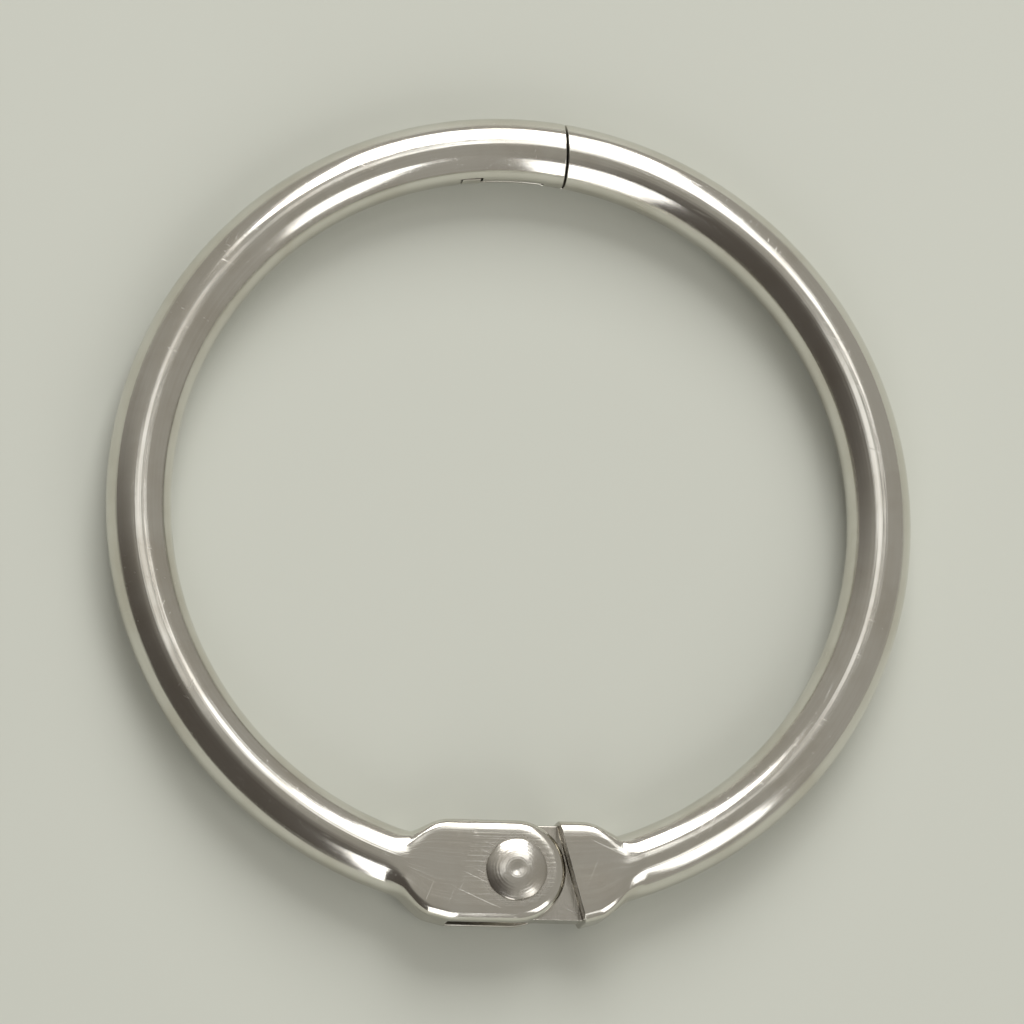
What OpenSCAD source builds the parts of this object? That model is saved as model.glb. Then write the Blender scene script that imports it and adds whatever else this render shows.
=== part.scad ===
// Hinged binder ring: two half rings of round wire, joined by a rivet at the bottom and lapped at the top.
// The ring lies in the XY plane with its centre at the origin. The hinge is at -Y, the closure at +Y.

/* [Ring] */
// Inside diameter of the closed ring, which is its size in the trade
ring_inside_d = 19; // [16:1:76]
// Diameter of the wire
wire_d = 1.8; // [1.6:0.05:2.2]

/* [Hinge] */
// Distance of the rivet's axis inside the wire's own circle
rivet_inset = 0.25; // [0:0.05:0.5]
// Thickness of the flattened hinge ends
hinge_t = 1.7; // [1.5:0.05:2]
// Width of the flattened hinge ends, across the ring
hinge_w = 2.8; // [2.6:0.1:3.4]
// Reach of each flattened hinge end from the rivet's axis, along the ring
hinge_reach = 3.2; // [2.9:0.1:4.5]
// Bevel along the edges of the flattened hinge ends
hinge_bevel = 0.25; // [0.1:0.05:0.35]
// Thickness of the tongue between the fork's two ears
tongue_t = 0.7; // [0.5:0.05:0.9]
// Width of the tongue and its eye
tongue_w = 2.6; // [2:0.1:2.8]
// Angle by which the ring opens before the shoulders stop it
open_angle = 105; // [90:1:110]

/* [Rivet] */
// Diameter of the rivet's shank
rivet_d = 1; // [0.8:0.05:1.2]
// Diameter of the rivet's two peened heads
rivet_head_d = 1.7; // [1.4:0.05:2.2]
// Height of each peened head above the ear
rivet_head_h = 0.2; // [0.12:0.02:0.4]
// Height of the straight rim under each domed head
rivet_rim_h = 0.05; // [0.02:0.01:0.08]

/* [Closure] */
// Reach of each lapped end past the middle of the closure
lap_reach = 1.45; // [1.2:0.05:2.5]
// Length of the hooked lip at the tip of each lapped end
lip_l = 0.55; // [0.3:0.05:0.8]
// Height of the hooked lip
lip_h = 0.2; // [0.1:0.02:0.4]

/* [Fits] */
// Gap between the tongue and each ear
tongue_gap = 0.04; // [0.02:0.01:0.1]
// Radial gap between the rivet and the tongue's eye
rivet_gap = 0.03; // [0.01:0.01:0.1]
// Gap between the moving edges at the hinge
shoulder_gap = 0.1; // [0.05:0.01:0.3]
// Gap between the two lapped ends, all round the hooked lips
lap_gap = 0.05; // [0.02:0.01:0.1]

/* [Hidden] */
$fn = 96;
NICKEL = [0.78, 0.77, 0.75];
ring_r = (ring_inside_d + wire_d) / 2;
rivet_y = rivet_inset - ring_r;
ear_r = hinge_w / 2;
eye_r = tongue_w / 2;
clear = 2 * hinge_reach + hinge_w;          // a length that cuts right through a hinge end
wire_bury = hinge_w / 4;                    // length of wire inside a flattened end
wire_foot = asin((hinge_reach - wire_bury) / ring_r);
wire_tip = asin((lap_reach + wire_d) / ring_r);
lip_root = lap_reach - lip_l;

// Place the children at the hinge, where the rivet's axis is the Z axis.
module at_hinge() {
    translate([0, rivet_y, 0]) children();
}

// The round wire of a half ring, from the hinge to past the closure. Both halves are made on the -X side.
module half_wire() {
    rotate([0, 0, 90 - wire_tip])
        rotate_extrude(angle = 180 + wire_tip - wire_foot)
            translate([ring_r, 0]) circle(d = wire_d);
}

// Half of the bevelled section of a flattened end, from the middle of its width to its edge.
module flat_section() {
    polygon([
        [0, -hinge_t / 2], [ear_r - hinge_bevel, -hinge_t / 2],
        [ear_r, hinge_bevel - hinge_t / 2], [ear_r, hinge_t / 2 - hinge_bevel],
        [ear_r - hinge_bevel, hinge_t / 2], [0, hinge_t / 2]
    ]);
}

// A flattened hinge end: a straight bar with two round ends, the nearer one round the rivet.
module flattened_end() {
    bar_l = hinge_reach - ear_r;
    for (x = [0, -bar_l])
        translate([x, 0, 0]) rotate_extrude() flat_section();
    translate([-bar_l, 0, 0]) rotate([90, 0, 90])
        linear_extrude(bar_l) {
            flat_section();
            mirror([1, 0]) flat_section();
        }
}

// A half ring before its two ends are cut.
module half_blank() {
    half_wire();
    at_hinge() flattened_end();
}

// All that lies past the stop line of a hinge end. The line passes the rivet's axis at the distance r, and
// leans so that the edge of the other half's flattened end lies along it when the ring is fully open.
module past_stop(r) {
    rotate(-open_angle) translate([-clear, -r]) square(2 * clear);
}

// The tongue's outline: an eye about the rivet's axis, and a neck that runs back into the flattened end.
module tongue_outline() {
    circle(r = eye_r);
    translate([-clear, -eye_r]) square([clear, tongue_w]);
}

// What is cut from the closure end so that its upper half is left, with its lip pointing down.
// The outline lies in X and Z.
module lap_cut() {
    half_gap = lap_gap / 2;
    translate([0, ring_r, 0]) rotate([90, 0, 0])
        linear_extrude(3 * wire_d, center = true)
            polygon([
                [-lap_reach - half_gap, -wire_d], [-lap_reach - half_gap, lip_h + lap_gap],
                [lap_gap - lip_root, lip_h + lap_gap], [lap_gap - lip_root, half_gap],
                [lip_root, half_gap], [lip_root, -lip_h],
                [lap_reach - half_gap, -lip_h], [lap_reach - half_gap, wire_d],
                [lap_reach + 3 * wire_d, wire_d], [lap_reach + 3 * wire_d, -wire_d]
            ]);
}

// The half on the -X side. Its hinge end is slit into two ears that hold the tongue.
module fork_half() {
    color(NICKEL) difference() {
        half_blank();
        at_hinge() {
            linear_extrude(tongue_t + 2 * tongue_gap, center = true) past_stop(eye_r + shoulder_gap);
            cylinder(d = rivet_d, h = 2 * hinge_t, center = true);
        }
        lap_cut();
    }
}

// The half on the +X side. Its hinge end is shouldered down to a flat tongue with an eye, and its closure
// end keeps the lower half of the wire.
module tongue_half() {
    color(NICKEL) mirror([1, 0, 0]) difference() {
        half_blank();
        at_hinge() {
            difference() {
                linear_extrude(2 * hinge_t, center = true) past_stop(ear_r + shoulder_gap);
                linear_extrude(tongue_t, center = true) tongue_outline();
            }
            cylinder(r = rivet_d / 2 + rivet_gap, h = 2 * hinge_t, center = true);
        }
        mirror([0, 0, 1]) lap_cut();
    }
}

// One half of the rivet's outline: the shank up to the ear's face, then a low rim under a domed head.
module rivet_outline() {
    head_r = rivet_head_d / 2;
    dome_h = rivet_head_h - rivet_rim_h;
    dome_r = (head_r * head_r + dome_h * dome_h) / (2 * dome_h);
    square([rivet_d / 2, hinge_t / 2]);
    intersection() {
        translate([0, hinge_t / 2 + rivet_head_h - dome_r]) circle(r = dome_r);
        translate([0, hinge_t / 2]) square([head_r, rivet_head_h]);
    }
}

// The rivet, peened over on both sides: fixed in the ears, and the pin on which the tongue turns.
module hinge_rivet() {
    color(NICKEL) at_hinge() rotate_extrude() {
        rivet_outline();
        mirror([0, 1]) rivet_outline();
    }
}

fork_half();
tongue_half();
hinge_rivet();
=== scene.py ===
"""Hinged binder ring: two half rings of nickel-plated wire, riveted at the hinge and lapped where they close.

Shapes are worked out in millimetres, with the ring in the XY plane, the hinge at -Y and the closure at +Y.
Both half rings are made as the half on the -X side. The tongue half is then turned over about Y.
"""

import math

import bmesh
import bpy
import numpy as np
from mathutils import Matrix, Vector


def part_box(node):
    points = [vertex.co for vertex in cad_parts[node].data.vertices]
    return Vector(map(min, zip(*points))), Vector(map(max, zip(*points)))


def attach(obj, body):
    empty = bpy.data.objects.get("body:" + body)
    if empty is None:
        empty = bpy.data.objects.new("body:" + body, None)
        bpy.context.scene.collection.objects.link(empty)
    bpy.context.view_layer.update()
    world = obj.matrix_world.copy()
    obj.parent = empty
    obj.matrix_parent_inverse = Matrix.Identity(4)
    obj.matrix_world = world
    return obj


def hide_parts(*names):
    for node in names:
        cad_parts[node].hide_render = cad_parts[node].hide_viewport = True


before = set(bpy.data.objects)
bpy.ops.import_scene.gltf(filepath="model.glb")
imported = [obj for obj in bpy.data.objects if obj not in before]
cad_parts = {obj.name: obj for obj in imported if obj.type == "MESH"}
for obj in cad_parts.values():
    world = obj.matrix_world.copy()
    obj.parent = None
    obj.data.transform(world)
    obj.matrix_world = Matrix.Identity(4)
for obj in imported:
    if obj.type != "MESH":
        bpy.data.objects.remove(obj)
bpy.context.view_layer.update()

MM = 0.001


# ---------------------------------------------------------------- sizes, in millimetres

def box_mm(node):
    """Lowest and highest corner of a CAD node, in millimetres, to the hundredth."""
    return [np.round(np.array(head_shade_mask) / MM, 2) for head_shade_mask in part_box(node)]


fork_low, fork_high = box_mm("fork_half")
rivet_low, rivet_high = box_mm("hinge_rivet")

WIRE_R = fork_high[2]                       # radius of the wire
RING_R = fork_high[1] - WIRE_R              # radius of the wire's own circle
RIVET_Y = (rivet_low[1] + rivet_high[1]) / 2
EAR_R = RIVET_Y - fork_low[1]               # half the width of a flattened hinge end
HEAD_R = rivet_high[0]                      # radius of the rivet's heads
HEAD_TOP = rivet_high[2]

FLAT_HALF_T = 0.85          # half the thickness of the flattened hinge ends
FLAT_REACH = 3.2            # from the rivet's axis to the far end of the flattening
FLAT_BLEND = 0.34           # how softly the round wire widens into the flattened end
PRESS_BLEND = 0.45          # how softly the wire's round top sinks into the flat
PRESS_BACK = 0.4            # the flat is full from this far before the middle of its round far end
EDGE_R = 0.3                # rounding along the edges of the flattened ends
TONGUE_HALF_T = 0.35
TONGUE_GAP = 0.04           # between the tongue and each ear
TONGUE_R = 1.3              # half the width of the tongue and its eye
MOVING_GAP = 0.1            # between the edges that pass each other at the hinge
STOP_LEAN = math.radians(15)  # lean of the stop faces at the hinge
SHANK_R = 0.5
EYE_GAP = 0.03              # between the rivet's shank and the tongue's eye
HEAD_RIM = 0.05             # straight rim under the rivet's dome
SLOT_HALF = TONGUE_HALF_T + TONGUE_GAP
FAR_X = FLAT_REACH - EAR_R  # from the rivet's axis to the middle of the flattening's round far end

LAP_REACH = 1.45            # reach of a lapped end past the middle of the closure
LIP_L = 0.55                # length of the hooked lip at its tip
LIP_H = 0.2
LAP_GAP = 0.05              # between the two lapped ends
LIP_ROOT = LAP_REACH - LIP_L
LAP_TIP = LAP_REACH - LAP_GAP / 2
GROOVE_START = LAP_GAP - LIP_ROOT           # the groove that takes the other half's lip
GROOVE_END = -LAP_REACH - LAP_GAP / 2
LAND_Z = LAP_GAP / 2        # the flat faces that lie on each other
GROOVE_Z = LIP_H + LAP_GAP

# Where the sections of the wire change, as angles from the closure.
UPRIGHT_TO = math.radians(22)   # they have turned from planes of constant X to planes through the axis
EVEN_FROM = math.radians(60)    # their rows have spread from the closure's levels to even steps
HINGE_FROM = math.radians(154)  # the hinge end begins
HINGE_TO = math.radians(168)    # they begin to slant towards the stop face


# ---------------------------------------------------------------- the section of the wire, row by row

def all_round(quarter, below, left):
    """The rows all round a section from those of its upper right quarter: mirrored to the lower right, times
    `below`, and then all of it to the left, times `left`."""
    right = np.concatenate([quarter, below * quarter[-2::-1]])
    return np.concatenate([right, left * right[-2::-1]])


def lap_angles():
    """Angles round the wire from its top, with a row on each level at which the closure is cut."""
    cuts = [math.acos(z / WIRE_R) for z in (GROOVE_Z, LAND_Z, -LIP_H)]
    spans = [(0, cuts[0], 12), (cuts[0], cuts[1], 2), (cuts[1], cuts[2], 2), (cuts[2], math.pi, 16)]
    right = np.concatenate([[0]] + [np.linspace(a, b, n + 1)[1:] for a, b, n in spans])
    return np.concatenate([right, 2 * math.pi - right[-2::-1]])


QUARTER = 16                # steps round a quarter of every section
ROWS = 4 * QUARTER + 1      # its rows all round, the last on the first
LAP_TAU = lap_angles()
EVEN_TAU = np.linspace(0, 2 * math.pi, ROWS)
# A quarter of the flattened section has 6 steps over the flat, 6 round the edge, 2 down to the slot and 2
# down half of it. FLAT_SHARE grows over the flat and EDGE_SHARE round the edge, and FLAT_Z is the height.
CORNER = np.linspace(0, math.pi / 2, 7)[1:]
FLAT_SHARE = all_round(np.concatenate([np.linspace(0, 1, 7), np.ones(10)]), 1, -1)
EDGE_SHARE = all_round(np.concatenate([np.zeros(7), np.sin(CORNER), np.ones(4)]), 1, -1)
EDGE_Z = FLAT_HALF_T - EDGE_R * (1 - np.cos(CORNER))
TO_SLOT, TO_MIDDLE = np.linspace(EDGE_Z[-1], SLOT_HALF, 3)[1:], np.linspace(SLOT_HALF, 0, 3)[1:]
FLAT_Z = all_round(np.concatenate([np.full(7, FLAT_HALF_T), EDGE_Z, TO_SLOT, TO_MIDDLE]), -1, 1)
FLAT_CELLS = 12             # the steps over the whole flat
EAR_EDGE = slice(6, 15)     # the rows from the end of the flat, round the edge and down to the slot
SLOT_FLOOR = slice(14, 19)  # the rows from the slot's top down to its bottom


def cut_section(floor):
    """A circle of the wire's radius with all below `floor` cut off. Rows past the cut lie evenly along its
    chord."""
    across, up = WIRE_R * np.sin(LAP_TAU), WIRE_R * np.cos(LAP_TAU)
    kept = up >= floor - 1e-6
    last = np.flatnonzero(kept[:2 * QUARTER + 1])[-1]
    chord = across[last] * (1 - 2 * (np.arange(ROWS) - last) / (ROWS - 1 - 2 * last))
    return np.where(kept, across, chord), np.where(kept, up, floor)


def flat_section(half_w):
    """A flattened section of half width half_w: a flat top and bottom, rounded edges and straight sides."""
    return (half_w - EDGE_R) * FLAT_SHARE + EDGE_R * EDGE_SHARE, FLAT_Z


# ---------------------------------------------------------------- the half ring

def smooth_step(x, start, end):
    """0 before start, 1 past end, and an S curve between them."""
    t = np.clip((x - start) / (end - start), 0, 1)
    return t * t * (3 - 2 * t)


def stop_x(across, reach):
    """X of a stop line that passes the rivet's axis at the distance reach, `across` from it in Y."""
    return math.tan(STOP_LEAN) * across - reach / math.cos(STOP_LEAN)


def on_ring(angle, upright, outward, up):
    """Points on stations of the ring. angle is from the closure, towards -X. A station lies in a plane of
    constant X where upright is 1, and in one through the ring's axis where it is 0."""
    radius = RING_R + outward
    bent = np.arcsin(np.clip(np.sin(angle) * RING_R / (RING_R + upright * outward), -1, 1))
    turn = np.where(upright > 0, bent, angle)
    return np.stack(np.broadcast_arrays(-radius * np.sin(turn), radius * np.cos(turn), up), axis=-1)


def lap_stations():
    """The closure end, from its tip: a lip, a flat face and a groove, each a run of one cut section."""
    runs = [(LAP_TIP, LIP_ROOT, -LIP_H, 5), (LIP_ROOT, GROOVE_START, LAND_Z, 12),
            (GROOVE_START, GROOVE_END, GROOVE_Z, 5)]
    stations = []
    for start, end, floor, steps in runs:
        angle = np.arcsin(-np.linspace(start, end, steps + 1) / RING_R)[:, None]
        stations.append(on_ring(angle, 1.0, *cut_section(floor)))
    return np.concatenate(stations)


def arc_stations():
    """The round wire from the closure to the hinge end. Its stations turn from planes of constant X to planes
    through the ring's axis, and its rows spread evenly."""
    first = math.asin(-GROOVE_END / RING_R)
    turning, even = np.linspace(first, UPRIGHT_TO, 14), np.linspace(UPRIGHT_TO, HINGE_FROM, 100)[1:]
    angle = np.concatenate([turning, even])[:, None]
    spread = smooth_step(angle, first, EVEN_FROM)
    tau = (1 - spread) * LAP_TAU + spread * EVEN_TAU
    upright = 1 - smooth_step(angle, first, UPRIGHT_TO)
    return on_ring(angle, upright, WIRE_R * np.sin(tau), WIRE_R * np.cos(tau))


def soft_max(a, b, width):
    """The larger of a and b, rounded where they are within `width` of each other."""
    return np.maximum(a, b) + np.maximum(width - np.abs(a - b), 0) ** 2 / (4 * width)


def flattened_radii(psi):
    """Inner and outer radius of the half ring's outline, psi from the hinge: the wire's own radii, or those
    of the flattened end where it is wider. That end is a stadium: two straight flanks and a round far end.
    A ray from the ring's centre meets the round far end half a chord before and after the point that is
    nearest to its middle."""
    middle = FAR_X * np.sin(psi) - RIVET_Y * np.cos(psi)
    chord = np.sqrt(np.maximum(middle ** 2 - FAR_X ** 2 - RIVET_Y ** 2 + EAR_R ** 2, 0))
    outer_flank, inner_flank = (EAR_R - RIVET_Y) / np.cos(psi), (-EAR_R - RIVET_Y) / np.cos(psi)
    outer = np.where(outer_flank * np.sin(psi) <= FAR_X, outer_flank, middle + chord)
    inner = np.where(inner_flank * np.sin(psi) <= FAR_X, inner_flank, middle - chord)
    return -soft_max(WIRE_R - RING_R, -inner, FLAT_BLEND), soft_max(RING_R + WIRE_R, outer, FLAT_BLEND)


def hinge_stations(reach):
    """The hinge end up to its stop face. The outline widens, and the section turns from round to flattened
    inside the press's round print. The last stations slant to the stop line at the distance reach."""
    psi = math.pi - np.linspace(HINGE_FROM, HINGE_TO, 71)[1:, None]
    inner, outer = flattened_radii(psi)
    half_w = (outer - inner) / 2
    radius = (outer + inner) / 2 + half_w * np.sin(EVEN_TAU)
    x, y = -radius * np.sin(psi), -radius * np.cos(psi)
    outside_print = smooth_step(np.hypot(x + FAR_X, y - RIVET_Y), EAR_R - PRESS_BLEND, EAR_R + PRESS_BLEND)
    short_of_flat = 1 - smooth_step(-RING_R * np.sin(psi), -FAR_X - EAR_R, -FAR_X - PRESS_BACK)
    pressed = 1 - outside_print * short_of_flat
    flat_out, flat_up = flat_section(half_w)
    out = (1 - pressed) * half_w * np.sin(EVEN_TAU) + pressed * flat_out
    up = (1 - pressed) * WIRE_R * np.cos(EVEN_TAU) + pressed * flat_up
    radius = (outer + inner) / 2 + out
    wide = np.stack([-radius * np.sin(psi), -radius * np.cos(psi), up], axis=-1)
    flank_out, flank_up = flat_section(EAR_R)
    stop = np.stack([stop_x(-flank_out, reach), RIVET_Y - flank_out, flank_up], axis=-1)
    share = np.linspace(0, 1, 7)[1:, None, None]
    return np.concatenate([wide, (1 - share) * wide[-1] + share * stop])


def half_wire(reach):
    """Every station of a half ring, from the tip of its closure end to its stop face: stations x rows x 3."""
    return np.concatenate([lap_stations(), arc_stations(), hinge_stations(reach)])


def fan(loop):
    """A flat face as rings from a closed loop in to its middle."""
    share = np.linspace(0, 1, 5)[:, None, None]
    return (1 - share) * loop + share * loop[:-1].mean(axis=0)


# ---------------------------------------------------------------- ears and tongue

def flank_path(r, reach):
    """An ear's or tongue's outline at half width r: from the stop line along the inner flank, round the end
    about the rivet and back along the outer flank. X and Y from the rivet's axis."""
    turn = np.linspace(0, math.pi, 37)
    inner = np.linspace(stop_x(r, reach), 0, 9)[:-1]
    outer = np.linspace(0, stop_x(-r, reach), 9)[1:]
    x = np.concatenate([inner, r * np.sin(turn), outer])
    y = np.concatenate([np.full(8, r), r * np.cos(turn), np.full(8, -r)])
    return np.stack([x, y], axis=-1)


def closed_outline(r, reach, root_cells):
    """A plate's outline at half width r, closed along the stop line."""
    across = np.linspace(-r, r, root_cells + 1)[1:]
    root = np.stack([stop_x(across, reach), across], axis=-1)
    return np.concatenate([flank_path(r, reach), root])


def level(outline, z):
    """Points of an outline about the rivet's axis, at the height z."""
    return np.stack([outline[..., 0], outline[..., 1] + RIVET_Y, np.full(outline.shape[:-1], z)], axis=-1)


def plate(rim_r, rim_z, reach, hole_r, root_cells):
    """A plate with a round end and a hole about the rivet, open where it grows out of the half ring.
    Its rim is carried along the flanks, through the half widths rim_r at the heights rim_z. Its two faces are
    rings between the hole and the outline, which the stop line closes in root_cells steps.
    Returned as rim, first face, last face and hole."""
    rim = np.stack([level(flank_path(r, reach), z) for r, z in zip(rim_r, rim_z)], axis=1)
    patches = [rim]
    turns = np.arctan2(*closed_outline(rim_r[-1], reach, root_cells).T[::-1])
    hole = hole_r * np.stack([np.cos(turns), np.sin(turns)], axis=-1)
    share = np.linspace(0, 1, 6)[:, None, None]
    for r, z in ((rim_r[0], rim_z[0]), (rim_r[-1], rim_z[-1])):
        patches.append(level((1 - share) * hole + share * closed_outline(r, reach, root_cells), z))
    patches.append(np.stack([level(hole, z) for z in np.linspace(rim_z[0], rim_z[-1], 4)]))
    return patches


# ---------------------------------------------------------------- the two half rings

LAP_SKIN = 0.03             # a face this deep inside the round wire lies on a cut
SKIN, CUT = 0, 1            # the finish of a patch: the drawn wire's skin, or a cut face


def on_lap(wire):
    """The finish of each face of a half ring: CUT on a cut of its closure end, and SKIN elsewhere."""
    middle = (wire[:-1, :-1] + wire[1:, 1:]) / 2
    depth = WIRE_R - np.hypot(np.hypot(middle[..., 0], middle[..., 1]) - RING_R, middle[..., 2])
    return (depth > LAP_SKIN) & (middle[..., 1] > 0)


def fork_patches():
    """The half ring whose hinge end is slit into two ears, an upper and a lower."""
    wire = half_wire(EAR_R)
    rim_r = EAR_R - EDGE_R * (1 - EDGE_SHARE[EAR_EDGE])
    upper = plate(rim_r, FLAT_Z[EAR_EDGE], EAR_R, SHANK_R, FLAT_CELLS)
    lower = [points * (1, 1, -1) for points in upper]
    across = np.linspace(-EAR_R, EAR_R, FLAT_CELLS + 1)
    floor_line = np.stack([stop_x(across, EAR_R), across], axis=-1)
    floor = np.stack([level(floor_line, z) for z in FLAT_Z[SLOT_FLOOR]])
    ears = zip(upper + lower, [SKIN, SKIN, CUT, CUT] * 2)
    return [(wire, on_lap(wire)), (fan(wire[0]), CUT), (floor, CUT), *ears]


def tongue_patches():
    """The half ring whose hinge end is shouldered down to a flat tongue with an eye."""
    reach = EAR_R + MOVING_GAP
    wire = half_wire(reach)
    # A quarter of the tongue's own section has 12 steps over its face and 4 down its side.
    flat = np.concatenate([np.linspace(0, 1, 13), np.ones(4)])
    sides = np.concatenate([np.ones(12), np.linspace(1, 0, 5)])
    across = -TONGUE_R * all_round(flat, 1, -1)
    up = TONGUE_HALF_T * all_round(sides, -1, 1)
    root = np.stack([stop_x(across, reach), across + RIVET_Y, up], axis=-1)
    share = np.linspace(0, 1, 4)[:, None, None]
    shoulder = (1 - share) * wire[-1] + share * root
    rim_z = TONGUE_HALF_T * np.linspace(1, -1, 9)
    tongue = plate(np.full(9, TONGUE_R), rim_z, reach, SHANK_R + EYE_GAP, 24)
    patches = [(wire, on_lap(wire))] + [(points, CUT) for points in (fan(wire[0]), shoulder, *tongue)]
    return [(points * (-1, 1, -1), finish) for points, finish in patches]


# ---------------------------------------------------------------- the rivet

DOME_FALL = 2.6             # the dome falls off by this power of the distance from the axis
DIMPLE = 0.22               # depth of the dimple in dome heights, and its radius in head radii
UNEVEN = 0.012              # how far the head's rim wanders each way, as a share of its radius


def rivet_patches():
    """The rivet, turned about its axis: a shank, and on each side a head with a short rim under a low dome.
    The dome falls off by a power of the distance from the axis. The punch left a shallow dimple in its
    middle, which is a bell curve, and its rim a little uneven, by the product of two waves round it."""
    dome_h = HEAD_TOP - FLAT_HALF_T - HEAD_RIM
    across = np.concatenate([np.linspace(0, 0.9, 25), 1 - 0.1 * np.cos(np.linspace(0, math.pi / 2, 7))[1:]])
    dimple = DIMPLE * np.exp(-(across / DIMPLE) ** 2)
    dome = FLAT_HALF_T + HEAD_RIM + dome_h * (1 - across ** DOME_FALL - dimple)
    dome *= HEAD_TOP / dome.max()
    sides = [(HEAD_R, FLAT_HALF_T), (SHANK_R, FLAT_HALF_T), (SHANK_R, 0)]
    r = np.concatenate([HEAD_R * across, [p[0] for p in sides]])
    z = np.concatenate([dome, [p[1] for p in sides]])
    turn = np.linspace(0, 2 * math.pi, 97)[:, None]
    uneven = 1 - UNEVEN * (r > SHANK_R) * (1 + np.sin(3 * turn + 0.4) * np.sin(5 * turn + 1.1))
    upper = np.stack([r * uneven * np.cos(turn), RIVET_Y + r * uneven * np.sin(turn), z + 0 * turn], axis=-1)
    return [(upper, SKIN), (upper * (1, 1, -1), SKIN)]


# ---------------------------------------------------------------- meshes

WELD = 0.002                # points nearer than this are one
SHARP = math.radians(40)    # edges sharper than this are cut edges
BROKEN_EDGE = 0.03          # width of the tiny round left on each cut edge by tumbling and plating


def run_lengths(points, axis):
    """Distance along one axis of a grid, in millimetres, averaged over the other."""
    steps = np.linalg.norm(np.diff(points, axis=axis), axis=-1).mean(axis=1 - axis)
    return np.concatenate([[0], np.cumsum(steps)])


def solid(name, patches, material):
    """A closed mesh from patches that share their borders. Each patch is a grid of points and its finish.
    Its map holds the distances along and across it in millimetres, or X and Y where it is level, and the
    attribute cut_face its finish."""
    corners, points, places, finishes, start = [], [], [], [], 0
    for grid, finish in patches:
        rows, columns = grid.shape[:2]
        index = start + np.arange(rows * columns).reshape(rows, columns)
        quads = np.stack([index[:-1, :-1], index[1:, :-1], index[1:, 1:], index[:-1, 1:]], axis=-1)
        corners.append(quads.reshape(-1, 4))
        place = np.stack(np.meshgrid(run_lengths(grid, 0), run_lengths(grid, 1), indexing="ij"), axis=-1)
        places.append((grid[..., :2] if np.ptp(grid[..., 2]) < WELD else place).reshape(-1, 2))
        finishes.append(np.broadcast_to(finish, (rows - 1, columns - 1)).ravel())
        points.append(grid.reshape(-1, 3))
        start += rows * columns
    corners, places = np.concatenate(corners), np.concatenate(places)
    mesh = bpy.data.meshes.new(name)
    mesh.from_pydata(np.concatenate(points) * MM, [], corners)
    mesh.uv_layers.new(name="wire_mm").data.foreach_set("uv", places[corners.ravel()].ravel())
    cut = mesh.attributes.new("cut_face", "FLOAT", "FACE")
    cut.data.foreach_set("value", np.concatenate(finishes).astype(np.float32))
    shell = bmesh.new()
    shell.from_mesh(mesh)
    bmesh.ops.remove_doubles(shell, verts=shell.verts, dist=WELD * MM)
    bmesh.ops.recalc_face_normals(shell, faces=shell.faces)
    shell.to_mesh(mesh)
    shell.free()
    mesh.polygons.foreach_set("use_smooth", np.ones(len(mesh.polygons), bool))
    mesh.set_sharp_from_angle(angle=SHARP)
    mesh.materials.append(material)
    piece = bpy.data.objects.new(name, mesh)
    bpy.context.scene.collection.objects.link(piece)
    edge = piece.modifiers.new("broken_edges", "BEVEL")
    edge.width, edge.segments = BROKEN_EDGE * MM, 2
    edge.limit_method, edge.angle_limit = "ANGLE", SHARP
    edge.harden_normals = True
    return piece


# ---------------------------------------------------------------- materials

def linear(code):
    """An sRGB hex colour as linear RGBA."""
    channels = [int(code[i:i + 2], 16) / 255 for i in (1, 3, 5)]
    return [c / 12.92 if c <= 0.04045 else ((c + 0.055) / 1.055) ** 2.4 for c in channels] + [1.0]


def add(owner, kind, inputs=None, **settings):
    """Adds a shader node to a material or the world. inputs: socket name or number to a value, to an output
    socket, or to a node, whose first output is then used. None leaves a socket as it is."""
    tree = owner.node_tree
    node = tree.nodes.new("ShaderNode" + kind)
    for name, value in settings.items():
        setattr(node, name, value)
    for name, value in (inputs or {}).items():
        if isinstance(value, bpy.types.Node):
            value = value.outputs[0]
        if isinstance(value, bpy.types.NodeSocket):
            tree.links.new(value, node.inputs[name])
        elif value is not None:
            node.inputs[name].default_value = value
    return node


def blank_material(name):
    """A node material that holds no nodes yet."""
    material = bpy.data.materials.new(name)
    material.use_nodes = True
    material.node_tree.nodes.clear()
    return material


def object_mm(material):
    """Object coordinates in millimetres."""
    where = add(material, "TexCoord").outputs["Object"]
    return add(material, "VectorMath", {0: where, "Scale": 1 / MM}, operation="SCALE")


def from_rivet(material, place):
    """Distance from the rivet's axis in millimetres."""
    level_place = add(material, "VectorMath", {0: place, 1: (1, 1, 0)}, operation="MULTIPLY")
    axis = (0, RIVET_Y, 0)
    return add(material, "VectorMath", {0: level_place, 1: axis}, operation="DISTANCE").outputs["Value"]


def hairlines(material, place):
    """Straight fine scratches in two directions: the few peaks of a noise stretched to spindles 2.4 mm long.
    Real ones are 0.01 mm wide, and are drawn 0.05 mm wide to show. 1 on a scratch, 0 elsewhere."""
    sets = []
    for turn in (24, 112):
        turned = add(material, "VectorRotate", {"Vector": place, "Angle": math.radians(turn)})
        spindles = add(material, "VectorMath", {0: turned, 1: (1 / 2.4, 1 / 0.05, 1 / 0.05)},
                       operation="MULTIPLY")
        peaks = add(material, "TexNoise", {"Vector": spindles, "Scale": 1.0, "Detail": 0.0})
        sets.append(add(material, "MapRange", {"Value": peaks, "From Min": 0.77, "From Max": 0.84},
                        interpolation_type="SMOOTHSTEP"))
    return add(material, "Math", dict(enumerate(sets)), operation="MAXIMUM")


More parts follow.
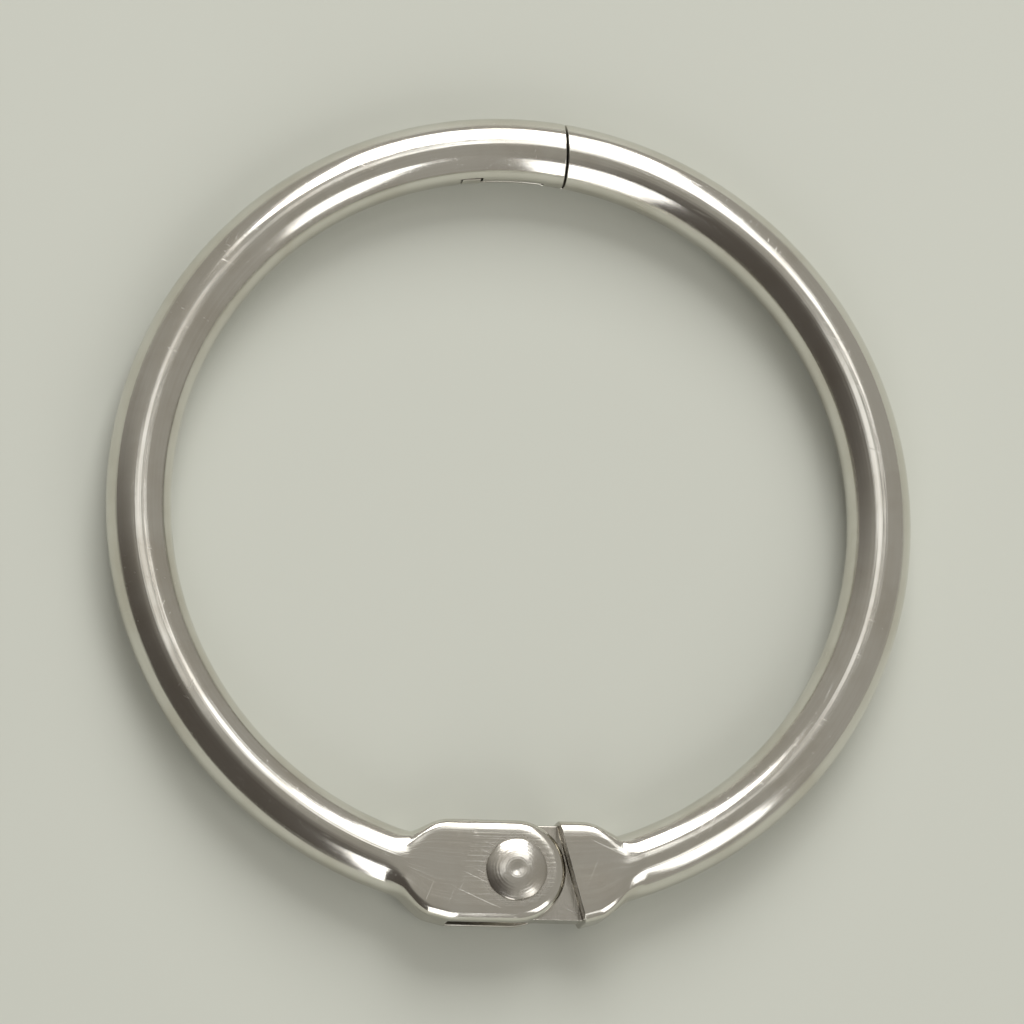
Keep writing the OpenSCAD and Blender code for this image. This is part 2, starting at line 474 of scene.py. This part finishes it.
def bright_nickel_wire():
    """Bright nickel plate on drawn steel wire. The plating is mirror-like and slightly warm. It still shows
    the lines of the drawing die along the wire, hairline scratches from the tumbling drum, faint waves where
    the wire was bent and pressed, and a satin, darker finish on the faces that were cut before plating. Those
    faces lie in recesses and are darkened further as painted shade. Painted shade also darkens the corner
    round the rivet's head."""
    material = blank_material("bright_nickel_wire")
    place = object_mm(material)
    # Die lines are about 0.01 mm apart. That is too fine to show, so they are drawn 0.07 mm apart, 9 mm long.
    wire = add(material, "UVMap", uv_map="wire_mm")
    along_wire = add(material, "VectorMath", {0: wire, 1: (1 / 9, 1 / 0.07, 1)}, operation="MULTIPLY")
    drawn = add(material, "TexNoise", {"Vector": along_wire, "Scale": 1.0, "Detail": 3.0, "Roughness": 0.6})
    # The cutter's marks run across the ring and are 0.06 mm apart.
    cut = add(material, "Attribute", attribute_name="cut_face").outputs["Fac"]
    across_ring = add(material, "VectorMath", {0: place, 1: (1 / 0.06, 0.4, 0.4)}, operation="MULTIPLY")
    milled = add(material, "TexNoise", {"Vector": across_ring, "Scale": 1.0, "Detail": 2.0})
    lines = add(material, "Mix", {"Factor": cut, 2: drawn, 3: milled})
    # Bending left waves 1.6 mm across, and the plating bath clouds of haze 2.2 mm across.
    waves = add(material, "TexNoise", {"Vector": place, "Scale": 1 / 1.6, "Detail": 1.0})
    clouds = add(material, "TexNoise", {"Vector": place, "Scale": 1 / 2.2, "Detail": 3.0, "Roughness": 0.6})
    haze = add(material, "MapRange", {"Value": clouds, "From Min": 0.35, "From Max": 0.7},
               interpolation_type="SMOOTHSTEP")
    scratched = hairlines(material, place)
    # Painted shade, in specks, darkens the corner round the rivet's head. The cut faces, in the closure's lap
    # and
    #     # the hinge's slot, are darker and duller, partly for their thinner plating and partly as painted
    #     shade.
    head_shade_mask = add(material, "MapRange", {"Value": from_rivet(material, place), "From Min": HEAD_R + 0.28,
                                        "From Max": HEAD_R - 0.02}, interpolation_type="SMOOTHSTEP")
    specks = add(material, "TexNoise", {"Vector": place, "Scale": 1 / 0.3, "Detail": 3.0})
    speckled_head_shade = add(material, "Math", {0: head_shade_mask, 1: specks}, operation="MULTIPLY")
    dull_cuts_and_painted_shade = add(material, "Math", {0: cut, 1: 0.35, 2: speckled_head_shade}, operation="MULTIPLY_ADD", use_clamp=True)
    streaks = -0.1
    for cause, share in ((haze, 0.6), (drawn, 0.6)):
        streaks = add(material, "Math", {0: cause, 1: share, 2: streaks}, operation="MULTIPLY_ADD")
    plate_colour = add(material, "Mix", {"Factor": streaks, 6: linear("#dfddd6"), 7: linear("#cbc6bb")},
                       data_type="RGBA").outputs[2]
    # The dark #857e73 is painted shade round the rivet's head, and painted shade with duller plating on the
    # cut faces.
    colour = add(material, "Mix", {"Factor": dull_cuts_and_painted_shade, 6: plate_colour, 7: linear("#857e73")},
                 data_type="RGBA").outputs[2]
    rough = 0.09
    for cause, share in ((haze, 0.05), (drawn, 0.05), (scratched, 0.12), (dull_cuts_and_painted_shade, 0.28)):
        rough = add(material, "Math", {0: cause, 1: share, 2: rough}, operation="MULTIPLY_ADD")
    # Each bump is laid on the one before, and stands up by so many millimetres.
    normal = None
    for height, mm in ((waves, 0.012), (lines, 0.004), (scratched, -0.0006)):
        normal = add(material, "Bump", {"Height": height, "Distance": mm * MM, "Normal": normal})
    shader = add(material, "BsdfPrincipled", {"Base Color": colour, "Metallic": 1.0, "Roughness": rough,
                                              "Normal": normal})
    add(material, "OutputMaterial", {"Surface": shader})
    return material


def peened_nickel_rivet():
    """Nickel plate on a steel rivet whose heads were formed cold by a spinning punch, before plating. It is a
    little duller and more grey than the wire, with faint rings about the axis and small dents. The rim of
    each head is darkened as painted shade, a contact shadow where it sits on the ear."""
    material = blank_material("peened_nickel_rivet")
    place = object_mm(material)
    # The punch's rings are about 0.02 mm apart, and are drawn 0.08 mm apart.
    radius = from_rivet(material, place)
    turns = add(material, "Math", {0: radius, 1: 2 * math.pi / 0.08}, operation="MULTIPLY")
    rings = add(material, "Math", {0: turns}, operation="SINE")
    # The dents are 0.28 mm across, and the clouds of haze 0.6 mm.
    dents = add(material, "TexNoise", {"Vector": place, "Scale": 1 / 0.28, "Detail": 2.0})
    clouds = add(material, "TexNoise", {"Vector": place, "Scale": 1 / 0.6, "Detail": 3.0})
    haze = add(material, "MapRange", {"Value": clouds, "From Min": 0.35, "From Max": 0.7},
               interpolation_type="SMOOTHSTEP")
    # Painted shade: the head's rim is darkened towards #857e73, as a contact shadow where it sits on the ear.
    rim = add(material, "MapRange", {"Value": radius, "From Min": HEAD_R - 0.12, "From Max": HEAD_R,
                                     "To Max": 0.35}, interpolation_type="SMOOTHSTEP")
    plate_colour = add(material, "Mix", {"Factor": haze, 6: linear("#d5d2cb"), 7: linear("#c2bdb3")},
                       data_type="RGBA").outputs[2]
    colour = add(material, "Mix", {"Factor": rim, 6: plate_colour, 7: linear("#857e73")},
                 data_type="RGBA").outputs[2]
    rough = add(material, "MapRange", {"Value": haze, "To Min": 0.17, "To Max": 0.27})
    normal = None
    for height, mm in ((dents, 0.006), (rings, 0.0004)):
        normal = add(material, "Bump", {"Height": height, "Distance": mm * MM, "Normal": normal})
    shader = add(material, "BsdfPrincipled", {"Base Color": colour, "Metallic": 1.0, "Roughness": rough,
                                              "Normal": normal})
    add(material, "OutputMaterial", {"Surface": shader})
    return material


def pale_card():
    """Matt coated card, plain and pale."""
    material = blank_material("pale_card")
    shader = add(material, "BsdfPrincipled", {"Base Color": linear("#c9cbc1"), "Roughness": 0.7})
    add(material, "OutputMaterial", {"Surface": shader})
    return material


# ---------------------------------------------------------------- floor, light and camera

FLOOR_HALF = 400            # half the side of the floor, in millimetres
LAMP_FAR = 400              # distance of the lamps
CAMERA_FAR = 158            # distance of the camera
DARK_SIDE = 215             # azimuth of the room's dark side, in degrees from +X


def floor():
    """A pale card under the ring, touching the rivet's lower head and the wire at the closure."""
    head, wire = Vector((0, RIVET_Y, -HEAD_TOP)), Vector((0, RING_R, -WIRE_R))
    slope = (wire - head).z / (wire - head).y
    half = FLOOR_HALF
    corners = [(x * half, y * half, head.z + slope * (y * half - head.y)) for x, y in
               ((-1, -1), (1, -1), (1, 1), (-1, 1))]
    mesh = bpy.data.meshes.new("card")
    mesh.from_pydata([Vector(c) * MM for c in corners], [], [(0, 1, 2, 3)])
    mesh.materials.append(pale_card())
    card = bpy.data.objects.new("card", mesh)
    bpy.context.scene.collection.objects.link(card)


def sky(tilt, azimuth, distance):
    """A place in millimetres, tilt degrees away from straight above the ring, at an azimuth from +X."""
    t, a = math.radians(tilt), math.radians(azimuth)
    return Vector((math.sin(t) * math.cos(a), math.sin(t) * math.sin(a), math.cos(t))) * distance


def soft_box(name, tilt, azimuth, wide, high, brightness):
    """A rectangular area lamp that points at the middle of the ring. wide and high are the angles it fills,
    in degrees, and brightness is how it looks in a perfect mirror, where 1 is white."""
    lamp = bpy.data.lights.new(name, "AREA")
    width, height = [2 * LAMP_FAR * math.tan(math.radians(angle / 2)) * MM for angle in (wide, high)]
    lamp.shape, lamp.size, lamp.size_y = "RECTANGLE", width, height
    lamp.energy = brightness * math.pi * width * height
    place = sky(tilt, azimuth, LAMP_FAR)
    box = bpy.data.objects.new(name, lamp)
    box.location = place * MM
    box.rotation_euler = (-place).to_track_quat("-Z", "Y").to_euler()
    bpy.context.scene.collection.objects.link(box)


def grey_room():
    """A plain grey room round the ring, with one dark side, to the front left."""
    world = bpy.data.worlds.new("grey_room")
    bpy.context.scene.world = world
    world.use_nodes = True
    world.node_tree.nodes.clear()
    # The compass heading of each direction. The height given to it makes it fade out straight overhead.
    where = add(world, "TexCoord").outputs["Generated"]
    heading = add(world, "VectorMath", {0: where, 1: (1, 1, 0), 2: (0, 0, 0.25)}, operation="MULTIPLY_ADD")
    heading = add(world, "VectorMath", {0: heading}, operation="NORMALIZE")
    dark = math.radians(DARK_SIDE)
    towards_dark = add(world, "VectorMath", {0: heading, 1: (math.cos(dark), math.sin(dark), 0)},
                       operation="DOT_PRODUCT").outputs["Value"]
    shade = add(world, "MapRange", {"Value": towards_dark, "From Min": 0.2, "From Max": 0.95},
                interpolation_type="SMOOTHSTEP")
    wall = add(world, "Mix", {"Factor": shade, 6: linear("#a6a39c"), 7: linear("#58534e")},
               data_type="RGBA").outputs[2]
    add(world, "OutputWorld", {"Surface": add(world, "Background", {"Color": wall})})


def light():
    """A large soft box behind the closure, a small one above it to the right, a faint one nearly overhead,
    and two upright ones, in front and to the front right."""
    soft_box("back_box", 51, 83, 35, 35, 5.9)
    soft_box("small_box", 27, 58, 14, 18, 1.7)
    soft_box("overhead_box", 13, 122, 20, 13, 0.75)
    soft_box("front_box", 66, 263, 24, 50, 2.7)
    soft_box("front_right_box", 51, 317, 17, 33, 2.2)


def camera():
    """A long lens, 15 degrees from straight above the ring, to its front left. The closure stays at the top
    of the picture."""
    lens = bpy.data.cameras.new("camera")
    lens.lens, lens.sensor_width = 200, 36
    lens.clip_start, lens.clip_end = 0.005, 5
    eye = bpy.data.objects.new("camera", lens)
    place = sky(15, 235, CAMERA_FAR)
    eye.location = place * MM
    eye.rotation_euler = (math.asin(-place.y / place.length), math.atan2(place.x, place.z), 0)
    bpy.context.scene.collection.objects.link(eye)
    bpy.context.scene.camera = eye


# ---------------------------------------------------------------- the ring

wire_finish = bright_nickel_wire()
fork = solid("fork_half_wire", fork_patches(), wire_finish)
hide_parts("fork_half")
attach(fork, "fixed_half")

tongue = solid("tongue_half_wire", tongue_patches(), wire_finish)
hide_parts("tongue_half")
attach(tongue, "swing_half")

rivet = solid("peened_rivet", rivet_patches(), peened_nickel_rivet())
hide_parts("hinge_rivet")
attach(rivet, "fixed_half")

floor()
grey_room()
light()
camera()
bpy.context.scene.view_settings.view_transform = "Standard"
